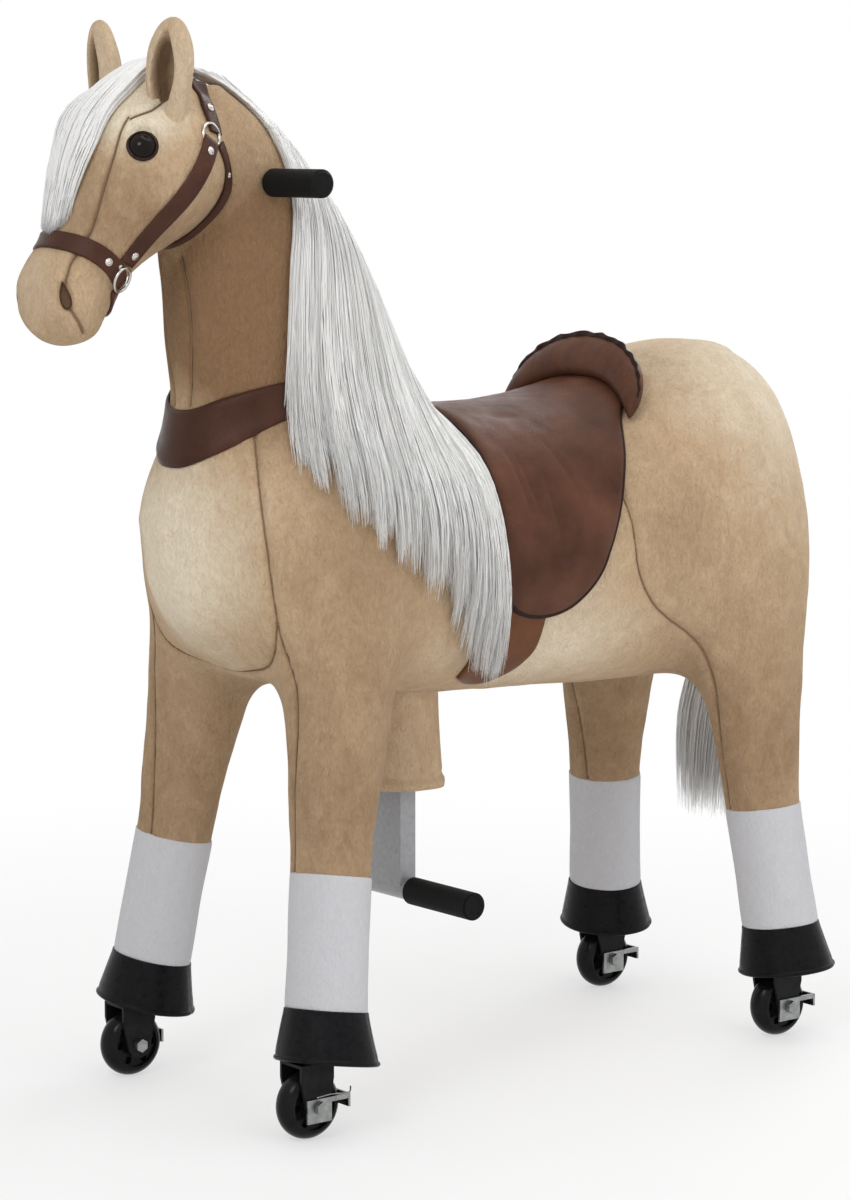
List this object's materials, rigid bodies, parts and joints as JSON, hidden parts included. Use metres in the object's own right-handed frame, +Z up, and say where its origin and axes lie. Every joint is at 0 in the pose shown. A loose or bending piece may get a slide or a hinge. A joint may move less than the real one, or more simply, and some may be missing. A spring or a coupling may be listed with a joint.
{
  "type": "ride-on horse on wheels",
  "caption": "Stuffed ride-on horse over a steel gallop linkage: the legs spread and close under the rider, the neck steers, and each hoof runs on a one-way wheel.",
  "frame": {"origin": "on the floor under the middle of the overall box", "axes": "+X forward, +Y to the horse's left, +Z up"},
  "size_m": [1.0209, 0.425, 1.1],
  "materials": {
    "steel_painted_grey": "satin",
    "plywood": "raw",
    "zinc_steel": "zinc plated",
    "nylon_white": "matte",
    "plush_tan": "short pile",
    "plush_white": "short pile",
    "hair_white": "silky hair",
    "leather_saddle": "satin",
    "leather_light": "satin",
    "leather_dark": "satin",
    "foam_black": "foam",
    "eye_gloss": "gloss",
    "hoof_black": "satin",
    "steel_black": "satin",
    "wheel_black": "semi gloss",
    "bearing_steel": "ground",
    "pawl_zinc": "zinc plated"
  },
  "bodies": {
    "torso": {"backbone_frame": "steel_painted_grey", "seat_board": "plywood", "seat_bolts": "zinc_steel", "head_bushes": "nylon_white", "rear_pivot_pin": "zinc_steel", "gallop_springs": "zinc_steel", "torso_plush": "plush_tan", "saddle_seat": "leather_saddle", "saddle_cantle": "leather_saddle", "saddle_girth": "leather_light", "pedal_sleeve": "plush_tan", "tail_hair": "hair_white", "mane_fall": "hair_white"},
    "steering": {"steering_stem": "steel_painted_grey", "front_pivot_pin": "zinc_steel", "handlebar": "zinc_steel", "handle_grip_left": "foam_black", "handle_grip_right": "foam_black", "neck_plush": "plush_tan", "head_plush": "plush_tan", "ears": "plush_tan", "eyes": "eye_gloss", "mane_crest": "hair_white", "forelock_hair": "hair_white", "neck_collar": "leather_dark", "halter_noseband": "leather_dark", "halter_cheek_straps": "leather_dark", "halter_crown_strap": "leather_dark", "halter_throat_strap": "leather_dark", "halter_rings": "zinc_steel"},
    "front_legs": {"front_leg_frame": "steel_painted_grey", "front_leg_left": "plush_tan", "front_leg_right": "plush_tan", "front_socks": "plush_white", "front_hooves": "hoof_black", "front_forks": "steel_black", "front_axle_bolts": "zinc_steel"},
    "rear_legs": {"rear_leg_frame": "steel_painted_grey", "rear_leg_left": "plush_tan", "rear_leg_right": "plush_tan", "rear_socks": "plush_white", "rear_hooves": "hoof_black", "rear_forks": "steel_black", "rear_axle_bolts": "zinc_steel"},
    "pedal": {"pedal_column": "steel_painted_grey", "pedal_grips": "foam_black"},
    "pedal_link": {"pedal_link": "steel_painted_grey"},
    "coupling_rod": {"coupling_rod": "steel_painted_grey"},
    "wheel_front_left": {"wheel_front_left": "wheel_black", "bearings_front_left": "bearing_steel"},
    "pawl_front_left": {"pawl_front_left": "pawl_zinc"},
    "wheel_front_right": {"wheel_front_right": "wheel_black", "bearings_front_right": "bearing_steel"},
    "pawl_front_right": {"pawl_front_right": "pawl_zinc"},
    "wheel_rear_left": {"wheel_rear_left": "wheel_black", "bearings_rear_left": "bearing_steel"},
    "pawl_rear_left": {"pawl_rear_left": "pawl_zinc"},
    "wheel_rear_right": {"wheel_rear_right": "wheel_black", "bearings_rear_right": "bearing_steel"},
    "pawl_rear_right": {"pawl_rear_right": "pawl_zinc"}
  },
  "joints": [
    {"name": "steering_turn", "type": "hinge", "parent": "torso", "child": "steering", "pos_m": [0.197, 0, 0.65], "axis": [0, 0, 1], "range_deg": [-10, 10]},
    {"name": "front_leg_swing", "type": "hinge", "parent": "steering", "child": "front_legs", "pos_m": [0.197, 0, 0.585], "axis": [0, -1, 0], "range_deg": [0, 10], "stiffness_Nm_per_rad": 60, "springref_deg": -20.05},
    {"name": "rear_leg_swing", "type": "hinge", "parent": "torso", "child": "rear_legs", "pos_m": [-0.328, 0, 0.585], "axis": [0, 1, 0], "range_deg": [0, 10], "deforming": ["gallop_springs"]},
    {"name": "pedal_slide", "type": "slide", "parent": "torso", "child": "pedal", "axis": [0, 0, 1], "range_m": [0, 0.0204]},
    {"name": "pedal_link_turn", "type": "hinge", "parent": "pedal", "child": "pedal_link", "pos_m": [0.127, 0, 0.455], "axis": [0, 1, 0], "range_deg": [0, 11.3]},
    {"name": "coupling_rod_turn", "type": "hinge", "parent": "rear_legs", "child": "coupling_rod", "pos_m": [-0.32947, 0, 0.555], "axis": [0, 1, 0], "range_deg": [-9.1, 0]},
    {"name": "wheel_front_left_spin", "type": "hinge", "parent": "front_legs", "child": "wheel_front_left", "pos_m": [0.299, 0.1565, 0.035], "axis": [0, 1, 0], "continuous": true},
    {"name": "pawl_front_left_slide", "type": "slide", "parent": "front_legs", "child": "pawl_front_left", "axis": [-1, 0, 0], "range_m": [0, 0.002], "stiffness_N_per_m": 200, "springref_m": -0.005},
    {"name": "wheel_front_right_spin", "type": "hinge", "parent": "front_legs", "child": "wheel_front_right", "pos_m": [0.299, -0.1565, 0.035], "axis": [0, 1, 0], "continuous": true},
    {"name": "pawl_front_right_slide", "type": "slide", "parent": "front_legs", "child": "pawl_front_right", "axis": [-1, 0, 0], "range_m": [0, 0.002], "stiffness_N_per_m": 200, "springref_m": -0.005},
    {"name": "wheel_rear_left_spin", "type": "hinge", "parent": "rear_legs", "child": "wheel_rear_left", "pos_m": [-0.355, 0.146, 0.035], "axis": [0, 1, 0], "continuous": true},
    {"name": "pawl_rear_left_slide", "type": "slide", "parent": "rear_legs", "child": "pawl_rear_left", "axis": [-1, 0, 0], "range_m": [0, 0.002], "stiffness_N_per_m": 200, "springref_m": -0.005},
    {"name": "wheel_rear_right_spin", "type": "hinge", "parent": "rear_legs", "child": "wheel_rear_right", "pos_m": [-0.355, -0.146, 0.035], "axis": [0, 1, 0], "continuous": true},
    {"name": "pawl_rear_right_slide", "type": "slide", "parent": "rear_legs", "child": "pawl_rear_right", "axis": [-1, 0, 0], "range_m": [0, 0.002], "stiffness_N_per_m": 200, "springref_m": -0.005}
  ],
  "couplings": [
    {"joint": "rear_leg_swing", "follows": "front_leg_swing", "ratio": 1},
    {"joint": "pedal_slide", "follows": "front_leg_swing", "m_per_rad": 0.11654},
    {"joint": "pedal_link_turn", "follows": "front_leg_swing", "ratio": 1.125},
    {"joint": "coupling_rod_turn", "follows": "front_leg_swing", "ratio": -0.905}
  ]
}
